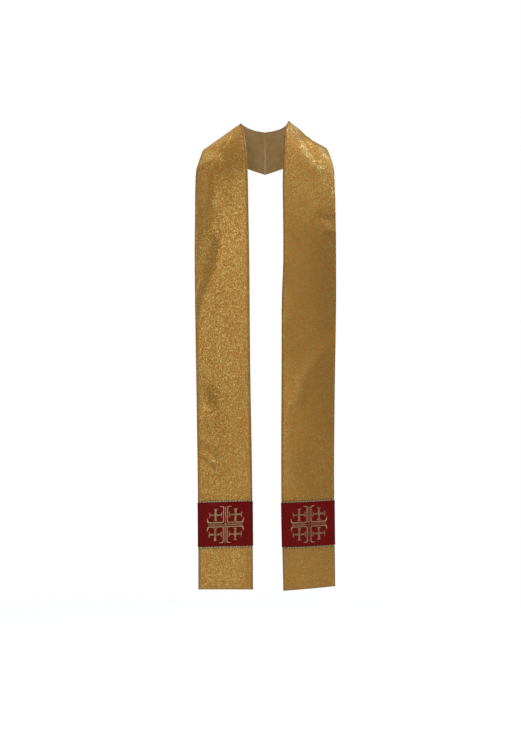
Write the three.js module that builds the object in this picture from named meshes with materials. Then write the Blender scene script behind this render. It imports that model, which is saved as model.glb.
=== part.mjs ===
// A priest's stole, worn: two lined bands of gold cloth, mitred together at the centre back, laid
// round the neck and hanging down the front. Each has a red panel near its hem, between two
// twisted cords. Millimetres, +Z up; the front is -Y and the wearer's left is +X. The origin is on
// the axis of the neck, level with the top of the centre-back seam.
import * as THREE from 'three';

// Cloth and trim.
const BAND_WALL = 2; // gold cloth, interlining and back cloth together
const PANEL_WALL = 1; // red cloth with its turned edges
const CORD_DIAMETER = 3.5;
const SEAM_GAP = 0.3; // between pieces that are sewn to each other

// Distances above the hem, along the inner edge of the cloth.
const LOWER_CORD_UP = 107.4;
const UPPER_CORD_UP = 221.8;
const SHOULDER_ROWS_UP = 960; // above this the band bends, so its rows lie closer together

// Fineness of the solids.
const COLUMNS = 12; // strips across a band
const HANGING_ROW_STEP = 27;
const SHOULDER_ROW_STEP = 11;
const CORD_SIDES = 8;
const LENGTH_STEPS = 400; // by which the length of a guide curve is measured

// The hem is cut a little aslant: at the outer edge it is this much nearer to the lower cord.
const HEM_SLANT = { right: 3.6, left: 4.8 };

// Rows turn to meet the mitre only close to the neck: this is the power of the distance above the
// hem by which they turn.
const MITRE_FAN_POWER = 8;

// The hanging cloth is this much flatter across than its guide lines, up to the shoulder.
const FLATTER = 3.2;
const FLATTER_TO_UP = 1070;
const FLATTER_FADE = 25;

// Sections of a band from the hem up to the shoulder, as [out from the middle, back, up] at its
// inner edge, middle and outer edge. The two sides hang a little differently.
const HANG = {
  right: [
    { at: 'hem', inner: [30.4, -115, -1168.2], mid: [98.7, -115, -1168.3], outer: [167.4, -108, -1169] },
    { at: 'thigh', inner: [32.9, -117, -880], mid: [101, -116, -900], outer: [169.2, -108, -920] },
    { at: 'hip', inner: [37.7, -121, -600], mid: [106.2, -119, -640], outer: [172.6, -108, -680] },
    { at: 'waist', inner: [39.8, -122, -345], mid: [109, -120, -420], outer: [176.3, -106, -450] },
    { at: 'lower chest', inner: [41.6, -117, -245], mid: [110.5, -117, -300], outer: [177.8, -101, -330] },
    { at: 'chest', inner: [43.4, -99, -150], mid: [111, -102, -200], outer: [177.4, -88, -230] },
    { at: 'upper chest', inner: [46.6, -74, -75], mid: [112, -80, -125], outer: [177.4, -68, -155] },
    { at: 'collar bone', inner: [52, -50, -27], mid: [113, -55, -75], outer: [175.4, -47, -110] },
    { at: 'front of shoulder', inner: [58, -27, 1], mid: [113, -28, -39.5], outer: [168, -24, -80] },
    { at: 'top of shoulder', inner: [62, -4, 13], mid: [110, 4, -22.5], outer: [157, 12, -55] },
    { at: 'back of shoulder', inner: [60, 16, 14], mid: [100, 38, -20.5], outer: [135, 55, -54] },
  ],
  left: [
    { at: 'hem', inner: [44.9, -115, -1172.3], mid: [110.3, -115, -1168.1], outer: [175.8, -108, -1162.5] },
    { at: 'on the panel', inner: [40.2, -116, -960], mid: [106.3, -116, -970], outer: [174, -106, -980] },
    { at: 'thigh', inner: [39.6, -118, -800], mid: [105.5, -117, -830], outer: [173.3, -103, -850] },
    { at: 'hip', inner: [40.5, -121, -600], mid: [107, -119, -640], outer: [174.8, -101, -680] },
    { at: 'below the waist', inner: [41, -122, -450], mid: [108.6, -120, -520], outer: [176.6, -102, -560] },
    { at: 'waist', inner: [44.5, -122, -345], mid: [110.5, -120, -420], outer: [178.3, -102, -450] },
    { at: 'lower chest', inner: [44.4, -117, -245], mid: [110.8, -117, -300], outer: [178.3, -101, -330] },
    { at: 'chest', inner: [43.6, -99, -150], mid: [111, -102, -200], outer: [177.6, -90, -230] },
    { at: 'upper chest', inner: [46, -74, -70], mid: [112, -80, -122], outer: [176.6, -70, -150] },
    { at: 'collar bone', inner: [51, -50, -20], mid: [113, -55, -70], outer: [174.4, -48, -105] },
    { at: 'front of shoulder', inner: [57, -27, 9], mid: [113, -28, -36], outer: [166.5, -24, -74] },
    { at: 'top of shoulder', inner: [61, -4, 19], mid: [110, 4, -20], outer: [155.5, 12, -47] },
    { at: 'back of shoulder', inner: [59, 16, 18], mid: [100, 38, -15], outer: [134, 55, -48] },
  ],
};

// The last sections, round the back of the neck to the centre-back seam, the same on both sides.
const NECK_TURN = [
  { at: 'side of neck', inner: [48, 42, 10], mid: [76, 66, -26], outer: [98, 83, -66] },
  { at: 'nape', inner: [27, 61, 4], mid: [40, 84, -40], outer: [50, 98, -90] },
  { at: 'centre back', inner: [0, 66, 0], mid: [0, 88, -53], outer: [0, 101, -107] },
];

// Ridges and swells (height above 0), and troughs and hollows (height below 0). Each follows a
// line of points on the flat cloth, as [distance above the hem, distance from the inner edge], and
// fades out over its half width. A line beyond the outer edge turns that edge away.
const FOLDS = {
  right: [
    { at: 'crease from the neck', line: [[1196, 15], [1093, 77], [1072, 96]], half: 12, height: 3.5 },
    { at: 'swell over the shoulder', line: [[1200, 40], [1160, 84], [1145, 124]], half: 29, height: 3.6 },
    { at: 'swell of the upper chest', line: [[1070, 20], [1070, 100]], half: 55, height: 4.5 },
    { at: 'outer chest turned back', line: [[1080, 142], [930, 150], [830, 156]], half: 36, height: -7 },
    { at: 'swell of the outer chest', line: [[1075, 96], [985, 92]], half: 22, height: 3.4 },
    { at: 'ridge at the outer chest', line: [[865, 72], [800, 85], [700, 122]], half: 16, height: 2.4 },
    { at: 'hollow beside that ridge', line: [[870, 98], [800, 115], [700, 150]], half: 21, height: -3 },
    { at: 'dimple at the outer edge', line: [[492, 120], [468, 114]], half: 21, height: -4 },
    { at: 'creases above the panel', line: [[352, 128], [312, 100]], half: 12, height: -3 },
    { at: 'hem held forward', line: [[-20, 0], [-20, 134]], half: 100, height: 8 },
  ],
  left: [
    { at: 'crease from the neck', line: [[1200, -8], [1130, 24], [1066, 80]], half: 22, height: 4.2 },
    { at: 'trough beside that crease', line: [[1190, 30], [1120, 63], [1086, 88]], half: 11, height: -4.4 },
    { at: 'swell over the shoulder', line: [[1170, 66], [1125, 90], [1105, 104]], half: 16, height: 3.4 },
    { at: 'rise beside the neck point', line: [[1228, 34], [1196, 38]], half: 15, height: 3 },
    { at: 'hollow over the top', line: [[1212, 82], [1172, 84]], half: 19, height: -5 },
    { at: 'corner of the chest turned back', line: [[1005, 158], [935, 158]], half: 34, height: -6 },
    { at: 'swell of the chest', line: [[925, 10], [925, 124]], half: 80, height: 4 },
    { at: 'outer side turned back', line: [[860, 166], [760, 158], [640, 164]], half: 56, height: -6.5 },
    { at: 'hollow above the hip', line: [[690, 58], [600, 62]], half: 45, height: -2.2 },
    { at: 'lower side turned back', line: [[540, 168], [420, 164], [280, 168]], half: 54, height: -5 },
    { at: 'hollow over the panel', line: [[330, 88], [262, 84]], half: 38, height: -2.6 },
    { at: 'lower end turned outward', line: [[-40, 196], [220, 196]], half: 110, height: -12 },
    { at: 'inner corner of the hem', line: [[-20, -20], [90, -20]], half: 30, height: 4.5 },
  ],
};

const GOLD_CLOTH = new THREE.MeshStandardMaterial({ color: 0xaa7d37, roughness: 0.5, metalness: 0.4 });
const RED_CLOTH = new THREE.MeshStandardMaterial({ color: 0x681112, roughness: 0.8, metalness: 0 });
const GOLD_CORD = new THREE.MeshStandardMaterial({ color: 0xb9985a, roughness: 0.45, metalness: 0.5 });

// The heights above the hem of a band's rows, from the hem to the centre back.
function bandRows(length) {
  const rows = [0];
  const stretches = [
    { to: LOWER_CORD_UP, step: HANGING_ROW_STEP },
    { to: panelEnds().low, step: HANGING_ROW_STEP },
    { to: panelEnds().high, step: HANGING_ROW_STEP },
    { to: UPPER_CORD_UP, step: HANGING_ROW_STEP },
    { to: SHOULDER_ROWS_UP, step: HANGING_ROW_STEP },
    { to: length, step: SHOULDER_ROW_STEP },
  ];
  for (const { to, step } of stretches) {
    const from = rows[rows.length - 1];
    const count = Math.ceil((to - from) / step);
    for (let i = 1; i <= count; i += 1) {
      rows.push(from + ((to - from) * i) / count);
    }
  }
  return rows;
}

// The red panel fills the space between the two cords.
function panelEnds() {
  const clearance = CORD_DIAMETER / 2 + SEAM_GAP;
  return { low: LOWER_CORD_UP + clearance, high: UPPER_CORD_UP - clearance };
}

// The smooth curve through the sections along one edge, or along the middle.
function guideCurve(sections, edge) {
  const curve = new THREE.CatmullRomCurve3(sections.map((section) => new THREE.Vector3(...section[edge])));
  curve.arcLengthDivisions = LENGTH_STEPS;
  return curve;
}

// The front of a band with no folds yet, as rows of points: a parabola across, through the three
// guide curves at the same distance above the hem.
function hangingGrid(sections, rowHeights, hemSlant) {
  const guides = ['inner', 'mid', 'outer'].map((edge) => guideCurve(sections, edge));
  const innerLength = guides[0].getLength();
  return rowHeights.map((up) => {
    const turned = (up / innerLength) ** MITRE_FAN_POWER;
    const [inner, middle, outer] = guides.map((curve, k) => {
      const length = curve.getLength();
      const slant = (k / 2) * hemSlant;
      const hemPart = slant * Math.min(1, up / LOWER_CORD_UP);
      const distance = up - hemPart + (length - innerLength + slant) * turned;
      return curve.getPointAt(Math.min(1, distance / length));
    });
    const row = [];
    for (let column = 0; column <= COLUMNS; column += 1) {
      const t = column / COLUMNS;
      const point = inner.clone().multiplyScalar((1 - t) * (1 - 2 * t));
      point.addScaledVector(middle, 4 * t * (1 - t));
      point.addScaledVector(outer, t * (2 * t - 1));
      row.push(point);
    }
    return row;
  });
}

// The outward direction at each point of a grid, from the neighbours across and along. At the
// centre back it stays in the middle plane, so that the two bands meet there on a flat cut.
function gridNormals(grid) {
  return grid.map((row, i) => row.map((_, j) => {
    const across = row[Math.min(j + 1, COLUMNS)].clone().sub(row[Math.max(j - 1, 0)]);
    const above = grid[Math.min(i + 1, grid.length - 1)][j];
    const below = grid[Math.max(i - 1, 0)][j];
    const normal = across.cross(above.clone().sub(below));
    if (row[j].x < SEAM_GAP) {
      normal.x = 0;
    }
    return normal.normalize();
  }));
}

// How far the folds lift a point of the flat cloth: each fold is a bell of its height, fading
// with the distance from the nearest place on its line.
function foldLift(folds, up, across) {
  const point = new THREE.Vector2(up, across);
  let lift = 0;
  for (const { line, half, height } of folds) {
    let nearest = Infinity;
    for (let k = 1; k < line.length; k += 1) {
      const start = new THREE.Vector2(...line[k - 1]);
      const along = new THREE.Vector2(...line[k]).sub(start);
      const share = THREE.MathUtils.clamp(point.clone().sub(start).dot(along) / along.lengthSq(), 0, 1);
      nearest = Math.min(nearest, point.distanceTo(start.addScaledVector(along, share)));
    }
    lift += height * Math.exp(-((nearest / half) ** 2));
  }
  return lift;
}

// The front of one band with its folds, and its outward directions.
function bandFront(side) {
  const sections = [...HANG[side], ...NECK_TURN];
  const heights = bandRows(guideCurve(sections, 'inner').getLength());
  const flat = hangingGrid(sections, heights, HEM_SLANT[side]);
  const normals = gridNormals(flat);
  const grid = flat.map((row, i) => {
    const width = row[0].distanceTo(row[COLUMNS]);
    const hanging = 1 / (1 + Math.exp((heights[i] - FLATTER_TO_UP) / FLATTER_FADE));
    return row.map((point, j) => {
      const t = j / COLUMNS;
      const lift = foldLift(FOLDS[side], heights[i], width * t) - FLATTER * hanging * 4 * t * (1 - t);
      return point.clone().addScaledVector(normals[i][j].clone().setX(0), lift);
    });
  });
  for (const point of grid[grid.length - 1]) {
    point.x = SEAM_GAP / 2;
  }
  return { heights, grid, normals: gridNormals(grid) };
}

// The points of a grid moved along its outward directions.
function movedOut(grid, normals, distance) {
  return grid.map((row, i) => row.map((point, j) => point.clone().addScaledVector(normals[i][j], distance)));
}

// A closed wall between an outer and an inner grid: two skins and a strip round the rim. The
// wearer's right side is the mirror image, with its triangles turned the other way.
function wallGeometry(outer, inner, side) {
  const rows = outer.length;
  const columns = outer[0].length;
  const mirror = side === 'right' ? -1 : 1;
  const positions = [];
  for (const point of [...outer.flat(), ...inner.flat()]) {
    positions.push(mirror * point.x, point.y, point.z);
  }
  const outerAt = (i, j) => i * columns + j;
  const innerAt = (i, j) => rows * columns + i * columns + j;
  const triangles = [];
  const addQuad = (a, b, c, d) => {
    triangles.push([a, b, c], [a, c, d]);
  };
  for (let i = 0; i < rows - 1; i += 1) {
    for (let j = 0; j < columns - 1; j += 1) {
      addQuad(outerAt(i, j), outerAt(i, j + 1), outerAt(i + 1, j + 1), outerAt(i + 1, j));
      addQuad(innerAt(i, j), innerAt(i + 1, j), innerAt(i + 1, j + 1), innerAt(i, j + 1));
    }
    const last = columns - 1;
    addQuad(outerAt(i, 0), outerAt(i + 1, 0), innerAt(i + 1, 0), innerAt(i, 0));
    addQuad(outerAt(i, last), innerAt(i, last), innerAt(i + 1, last), outerAt(i + 1, last));
  }
  for (let j = 0; j < columns - 1; j += 1) {
    const last = rows - 1;
    addQuad(outerAt(0, j), innerAt(0, j), innerAt(0, j + 1), outerAt(0, j + 1));
    addQuad(outerAt(last, j), outerAt(last, j + 1), innerAt(last, j + 1), innerAt(last, j));
  }
  const geometry = new THREE.BufferGeometry();
  geometry.setAttribute('position', new THREE.Float32BufferAttribute(positions, 3));
  geometry.setIndex(triangles.flatMap(([a, b, c]) => (mirror < 0 ? [a, c, b] : [a, b, c])));
  geometry.computeVertexNormals();
  return geometry;
}

// The band itself: the front skin, and the back skin one wall behind it.
function bandGeometry(front, side) {
  return wallGeometry(front.grid, movedOut(front.grid, front.normals, -BAND_WALL), side);
}

// The red panel: the band's own rows between the cords, moved out by the gap and by the wall.
function panelGeometry(front, side) {
  const { low, high } = panelEnds();
  const first = front.heights.indexOf(low);
  const last = front.heights.indexOf(high);
  const grid = front.grid.slice(first, last + 1);
  const normals = front.normals.slice(first, last + 1);
  const under = movedOut(grid, normals, SEAM_GAP);
  const over = movedOut(grid, normals, SEAM_GAP + PANEL_WALL);
  return wallGeometry(over, under, side);
}

// A cord sewn across the band at one row: a round section carried from edge to edge.
function cordGeometry(front, up, side) {
  const i = front.heights.indexOf(up);
  const mirror = side === 'right' ? -1 : 1;
  const clearance = SEAM_GAP + CORD_DIAMETER / 2;
  const points = front.grid[i].map((point, j) => {
    const centre = point.clone().addScaledVector(front.normals[i][j], clearance);
    centre.x *= mirror;
    return centre;
  });
  const section = new THREE.Shape();
  for (let k = 0; k < CORD_SIDES; k += 1) {
    const angle = ((k + 0.5) / CORD_SIDES) * 2 * Math.PI;
    const corner = [(Math.cos(angle) * CORD_DIAMETER) / 2, (Math.sin(angle) * CORD_DIAMETER) / 2];
    if (k === 0) {
      section.moveTo(...corner);
    } else {
      section.lineTo(...corner);
    }
  }
  section.closePath();
  const extrudePath = new THREE.CatmullRomCurve3(points);
  return new THREE.ExtrudeGeometry(section, { extrudePath, steps: COLUMNS, bevelEnabled: false });
}

function namedMesh(name, geometry, material) {
  const mesh = new THREE.Mesh(geometry, material);
  mesh.name = name;
  return mesh;
}

const stole = new THREE.Group();
for (const side of ['right', 'left']) {
  const front = bandFront(side);
  stole.add(namedMesh(`${side}_band`, bandGeometry(front, side), GOLD_CLOTH));
  stole.add(namedMesh(`${side}_panel`, panelGeometry(front, side), RED_CLOTH));
  stole.add(namedMesh(`${side}_lower_cord`, cordGeometry(front, LOWER_CORD_UP, side), GOLD_CORD));
  stole.add(namedMesh(`${side}_upper_cord`, cordGeometry(front, UPPER_CORD_UP, side), GOLD_CORD));
}

export default stole;
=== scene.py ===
import bpy
import numpy as np
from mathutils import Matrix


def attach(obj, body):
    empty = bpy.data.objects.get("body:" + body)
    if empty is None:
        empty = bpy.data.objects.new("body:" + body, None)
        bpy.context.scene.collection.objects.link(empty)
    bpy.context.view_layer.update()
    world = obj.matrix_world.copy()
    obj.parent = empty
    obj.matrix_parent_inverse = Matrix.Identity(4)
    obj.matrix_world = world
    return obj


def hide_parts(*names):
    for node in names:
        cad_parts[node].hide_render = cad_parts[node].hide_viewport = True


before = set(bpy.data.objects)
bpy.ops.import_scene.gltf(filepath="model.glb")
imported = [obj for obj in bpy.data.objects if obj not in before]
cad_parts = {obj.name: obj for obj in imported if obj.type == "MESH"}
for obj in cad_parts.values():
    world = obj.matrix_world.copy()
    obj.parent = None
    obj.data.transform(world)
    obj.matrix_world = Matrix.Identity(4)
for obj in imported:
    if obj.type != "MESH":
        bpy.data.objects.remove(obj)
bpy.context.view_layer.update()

# ---------------------------------------------------------------- the gold bands
# Each band is a strip of crinkled gold metal-thread cloth on a soft interlining, bagged out with a
# satin back cloth and topstitched all round. It hangs from the centre-back seam, round the side
# of the neck, over the shoulder and down the front. The tables are in millimetres.
MM = 0.001
LOWER_CORD_UP = 107.4  # the cords' distances above the hem, along the inner edge
UPPER_CORD_UP = 221.8
HEM_SLANT = {"right": 3.6, "left": 4.8}  # the hem's outer end is this much nearer to the lower cord
MITRE_FAN_POWER = 8  # the rows turn to the mitre only close to the neck
BAND_WALL = 2.0
SEAM_GAP = 0.3  # between the two bands at the centre back
WIDTH = 134.0

# Sections of a band as [out from the middle, back, up], at its inner edge, middle and outer edge.
HANG = {
    "right": [
        ("hem", (30.4, -115, -1168.2), (98.7, -115, -1168.3), (167.4, -108, -1169)),
        ("above the panel", (32.9, -117, -880), (101, -116, -900), (169.2, -108, -920)),
        ("hip", (37.7, -121, -600), (106.2, -119, -640), (172.6, -108, -680)),
        ("waist", (39.8, -122, -345), (109, -120, -420), (176.3, -106, -450)),
        ("lower chest", (41.6, -117, -245), (110.5, -117, -300), (177.8, -101, -330)),
        ("chest", (43.4, -99, -150), (111, -102, -200), (177.4, -88, -230)),
        ("upper chest", (46.6, -74, -75), (112, -80, -125), (177.4, -68, -155)),
        ("collar bone", (52, -50, -27), (113, -55, -75), (175.4, -47, -110)),
        ("front of shoulder", (58, -27, 1), (113, -28, -39.5), (168, -24, -80)),
        ("top of shoulder", (62, -4, 13), (110, 4, -22.5), (157, 12, -55)),
        ("back of shoulder", (60, 16, 14), (100, 38, -20.5), (135, 55, -54)),
    ],
    "left": [
        ("hem", (44.9, -115, -1172.3), (110.3, -115, -1168.1), (175.8, -108, -1162.5)),
        ("on the panel", (40.2, -116, -960), (106.3, -116, -970), (174, -106, -980)),
        ("above the panel", (39.6, -118, -800), (105.5, -117, -830), (173.3, -103, -850)),
        ("hip", (40.5, -121, -600), (107, -119, -640), (174.8, -101, -680)),
        ("below the waist", (41, -122, -450), (108.6, -120, -520), (176.6, -102, -560)),
        ("waist", (44.5, -122, -345), (110.5, -120, -420), (178.3, -102, -450)),
        ("lower chest", (44.4, -117, -245), (110.8, -117, -300), (178.3, -101, -330)),
        ("chest", (43.6, -99, -150), (111, -102, -200), (177.6, -90, -230)),
        ("upper chest", (46, -74, -70), (112, -80, -122), (176.6, -70, -150)),
        ("collar bone", (51, -50, -20), (113, -55, -70), (174.4, -48, -105)),
        ("front of shoulder", (57, -27, 9), (113, -28, -36), (166.5, -24, -74)),
        ("top of shoulder", (61, -4, 19), (110, 4, -20), (155.5, 12, -47)),
        ("back of shoulder", (59, 16, 18), (100, 38, -15), (134, 55, -48)),
    ],
}
NECK_TURN = [
    ("side of neck", (48, 42, 10), (76, 66, -26), (98, 83, -66)),
    ("nape", (27, 61, 4), (40, 84, -40), (50, 98, -90)),
    ("centre back", (0, 66, 0), (0, 88, -53), (0, 101, -107)),
]

# Folds of the cloth. Each follows a line of points [above the hem, across from the inner edge] and
# has a half width towards the inner edge, one towards the outer edge, and a height, which is below
# nothing for a hollow. A line beyond the outer edge turns that edge away.
FOLDS = {
    "right": [
        ("crease from the neck",
         [(1196, 15), (1166, 33), (1141, 46), (1115, 61), (1093, 77), (1072, 96)], 4, 19, 3.5),
        ("swell over the shoulder", [(1200, 40), (1160, 84), (1145, 124)], 34, 24, 3.6),
        ("swell at the neck edge", [(1160, -4), (1060, 0)], 22, 22, 1.6),
        ("turn of the outer shoulder", [(1080, 76), (1064, 134)], 14, 14, 2.0),
        ("swell of the upper chest", [(1070, 20), (1070, 100)], 55, 55, 4.5),
        ("outer chest turned back",
         [(1080, 142), (1000, 146), (930, 150), (880, 158), (830, 156)], 36, 36, -7),
        ("swell of the outer chest", [(1075, 96), (985, 92)], 21, 24, 3.4),
        ("ridge at the outer chest",
         [(865, 72), (840, 76), (820, 79), (800, 85), (780, 93), (760, 103), (700, 122)], 16, 16, 2.4),
        ("hollow beside that ridge",
         [(870, 98), (840, 104), (820, 108), (800, 115), (780, 122), (740, 142), (700, 150)], 16, 26, -3.0),
        ("swell of the outer edge", [(670, 138), (550, 138)], 30, 30, 1.2),
        ("dimple at the outer edge", [(492, 120), (468, 114)], 26, 16, -4.0),
        ("swell beside that dimple", [(500, 80), (430, 72)], 22, 22, 1.4),
        ("faint dimple", [(410, 118), (396, 116)], 14, 14, -1.6),
        ("upper crease above the panel", [(357, 126), (338, 97)], 12, 8, -3.6),
        ("lower crease above the panel", [(336, 137), (308, 102)], 8, 8, -3.2),
        ("swell towards the inner edge", [(520, 26), (470, 46), (400, 58), (300, 62)], 20, 20, 1.4),
        ("hem held forward", [(-20, 0), (-20, 134)], 100, 100, 8),
        ("crease beside the inner edge", [(8, 8.5), (96, 8.5)], 9, 5.5, -1.6),
    ],
    "left": [
        ("crease from the neck",
         [(1200, -8), (1165, 6), (1130, 24), (1105, 40), (1085, 58), (1066, 80)], 24, 20, 4.2),
        ("trough beside that crease",
         [(1190, 30), (1160, 44), (1120, 63), (1100, 75), (1086, 88)], 11, 11, -4.4),
        ("swell of the outer shoulder", [(1170, 66), (1145, 78), (1125, 90), (1105, 104)], 9, 22, 3.4),
        ("rise beside the neck point", [(1228, 34), (1196, 38)], 15, 15, 3.0),
        ("hollow over the top of the shoulder", [(1212, 82), (1172, 84)], 20, 18, -5.0),
        ("outer corner of the chest turned back", [(1005, 158), (935, 158)], 34, 34, -6),
        ("swell of the chest", [(925, 10), (925, 124)], 80, 80, 4),
        ("dent at the chest", [(932, 98), (924, 118)], 12, 12, -2.8),
        ("lump under that dent", [(898, 112), (892, 132)], 10, 10, 1.6),
        ("hollow of the lower chest", [(860, 50), (780, 55)], 40, 40, -1.0),
        ("outer side turned back", [(860, 166), (760, 158), (640, 164)], 56, 56, -6.5),
        ("hollow above the hip", [(690, 58), (600, 62)], 45, 45, -2.2),
        ("drag line at the hip", [(628, 134), (572, 92), (528, 58), (470, 40)], 20, 16, 1.8),
        ("outer end of that line", [(650, 146), (610, 138)], 16, 16, 2.4),
        ("lower outer side turned back", [(540, 168), (420, 164), (280, 168)], 54, 54, -5),
        ("inner edge at the lower chest", [(812, -10), (785, -10)], 22, 22, 1.6),
        ("inner edge at the hip", [(665, -10), (600, -10)], 22, 22, 1.8),
        ("swell along the inner edge", [(470, 14), (290, 16)], 24, 24, 1.2),
        ("hollow over the panel", [(330, 88), (262, 84)], 30, 46, -2.6),
        ("lower end turned to the outer side", [(-40, 196), (220, 196)], 110, 110, -12),
        ("inner corner of the hem", [(-20, -20), (90, -20)], 30, 30, 4.5),
        ("dip into the panel seam", [(221, 0), (221, 134)], 14, 14, -1.4),
    ],
}
FLATTER = 3.2  # by so much the hanging cloth is flatter across than its guide lines
FLATTER_TO_UP = 1070  # above this the cloth bends over the shoulder and keeps to them
FLATTER_FADE = 25


LINE_STEPS = 40  # close points between two stops of a guide line


def smooth_line(stops):
    """A smooth line through the stops, as close points and the length run up to each. Between two
    stops it is a cubic; its slope at a stop is the pull of the neighbours on both sides, each
    divided by the square root of its distance."""
    p = np.vstack([2 * stops[0] - stops[1], stops, 2 * stops[-1] - stops[-2]])
    gap = np.sqrt(np.linalg.norm(np.diff(p, axis=0), axis=1))[:, None]
    step = np.diff(p, axis=0) / gap
    wide = (p[2:] - p[:-2]) / (gap[1:] + gap[:-1])
    leave = (step[:-2] - wide[:-1] + step[1:-1]) * gap[1:-1]
    arrive = (step[1:-1] - wide[1:] + step[2:]) * gap[1:-1]
    start, end = p[1:-2], p[2:-1]
    w = np.linspace(0, 1, LINE_STEPS, endpoint=False)[:, None, None]
    cubic = (
        start
        + leave * w
        + (3 * (end - start) - 2 * leave - arrive) * w**2
        + (2 * (start - end) + leave + arrive) * w**3
    )
    line = np.vstack([cubic.swapaxes(0, 1).reshape(-1, 3), stops[-1:]])
    run = np.append(0, np.cumsum(np.linalg.norm(np.diff(line, axis=0), axis=1)))
    return line, run


def fold_lift(folds, up, across):
    """The lift of all the folds at points of the flat cloth: each is its height times the bell
    exp(-(d / half width)^2), with d the distance from the nearest place on the fold's line. The half
    width goes from the inner one to the outer as the direction away from that place turns outward."""
    lift = np.zeros(np.broadcast(up, across).shape)
    for _, stops, inner_half, outer_half, height in folds:
        nearest = np.full(lift.shape, np.inf)
        half = np.full(lift.shape, float(inner_half))
        for (up_0, across_0), (up_1, across_1) in zip(stops[:-1], stops[1:]):
            run_up, run_across = up_1 - up_0, across_1 - across_0
            share = ((up - up_0) * run_up + (across - across_0) * run_across) / (run_up**2 + run_across**2)
            share = np.clip(share, 0, 1)
            off_up, off_across = up - up_0 - share * run_up, across - across_0 - share * run_across
            d2 = off_up**2 + off_across**2
            outward = (1 + off_across / np.sqrt(d2 + 1e-9)) / 2
            half = np.where(d2 < nearest, inner_half + (outer_half - inner_half) * outward, half)
            nearest = np.minimum(nearest, d2)
        lift = lift + height * np.exp(-nearest / half**2)
    return lift


NOISE_LENGTH = 1400  # the lattices reach past the cloth's ends and sides
NOISE_WIDTH = 300
NOISE_MARGIN = 20


def soft_noise(seed, up, across, cell):
    """Random heights, mean 0 and spread 1, on a lattice of that cell, joined by smooth steps: the
    four corners round a point weighed by 3t^2 - 2t^3 of its place between them."""
    size = (int(NOISE_LENGTH / cell) + 3, int(NOISE_WIDTH / cell) + 3)
    lattice = np.random.default_rng(seed).standard_normal(size)
    i, j = up / cell, (across + NOISE_MARGIN) / cell
    i0, j0 = np.floor(i).astype(int), np.floor(j).astype(int)
    s, t = i - i0, j - j0
    s, t = s * s * (3 - 2 * s), t * t * (3 - 2 * t)
    low = lattice[i0, j0] * (1 - t) + lattice[i0, j0 + 1] * t
    high = lattice[i0 + 1, j0] * (1 - t) + lattice[i0 + 1, j0 + 1] * t
    return low * (1 - s) + high * s


def normals_of(grid, turn):
    """The outward direction at each point of a grid of rows: the cross product of the step along
    the row and the step to the next row, turned by turn."""
    along = np.gradient(grid, axis=1)
    upward = np.gradient(grid, axis=0)
    n = turn * np.cross(along, upward)
    return n / np.linalg.norm(n, axis=2, keepdims=True)


def from_edge(d, radius):
    """How far a wall has grown to its full thickness at distance d from its edge: a quarter of a
    circle, from 0 at the edge to 1 at the radius."""
    inside = np.clip(1 - d / radius, 0, 1)
    return np.sqrt(1 - inside**2)


EDGE_STEPS = np.array([0, 0.12, 0.4, 0.8, 1.3, 1.9, 2.6, 3.4, 4.2, 4.9, 5.5, 6.1, 7.0, 8.2, 9.8])
COLUMN_STEP = 2.2
ROW_STEP = 2.3
ROLL_RADIUS = 2.0  # of the rolled long edges and hem
SEAM_RADIUS = 1.0  # of the cloth where it turns into the centre-back seam
STITCH_IN = 5.5  # the topstitching's distance from the edge
LINING_IN = 1.9  # the gold cloth rolls this far round the edge before the lining starts
NOISE_SEED = {"right": 11, "left": 23}
SLOW = (0.35, 95)  # height and cell of the interlining's slow unevenness
SLOW_FROM_EDGE = 20
CRINKLE = [(0.05, 14), (0.03, 5.5), (0.02, 2.6)]  # heights and cells of the gold cloth's crinkle
LOOSE_FROM = 5  # the crinkle is pulled flat up to about here from a panel's seam
PUCKER = (0.35, 6.5)  # height and cell of the puckers that a panel's seam draws
PUCKER_REACH = (2, 9)  # they start and die away over these distances from the seam
BACKING = (0.12, 30)  # height and cell of the lining's unevenness

# Ridges and grooves along a band's edge, as (height, distance from the edge, half width).
EDGE_RELIEF = [
    (-0.35, STITCH_IN, 1.1),  # the topstitching draws the cloth in
    (0.35, 2.8, 1.6),  # the roll of the edge
]
LINING_GROOVE = (-0.25, LINING_IN, 0.5)
ALLOWANCE = (0.12, 10, 0.8)  # height, width and slope of the step that the seam allowance makes
SEAM_DIP = (-0.9, 3)  # height and reach of the dip into the centre-back seam


def spaced(total, step):
    """Distances from 0 to total, close together at both ends and a step apart between them."""
    inner = total - 2 * EDGE_STEPS[-1]
    middle = EDGE_STEPS[-1] + np.linspace(0, inner, round(inner / step) + 1)[1:-1]
    return np.concatenate([EDGE_STEPS, middle, (total - EDGE_STEPS)[::-1]])


def bell(d, row):
    """A bell over a distance: height times exp(-((d - place) / half width)^2), for a row of height,
    place and half width."""
    height, place, half_width = row
    return height * np.exp(-(((d - place) / half_width) ** 2))


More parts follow.
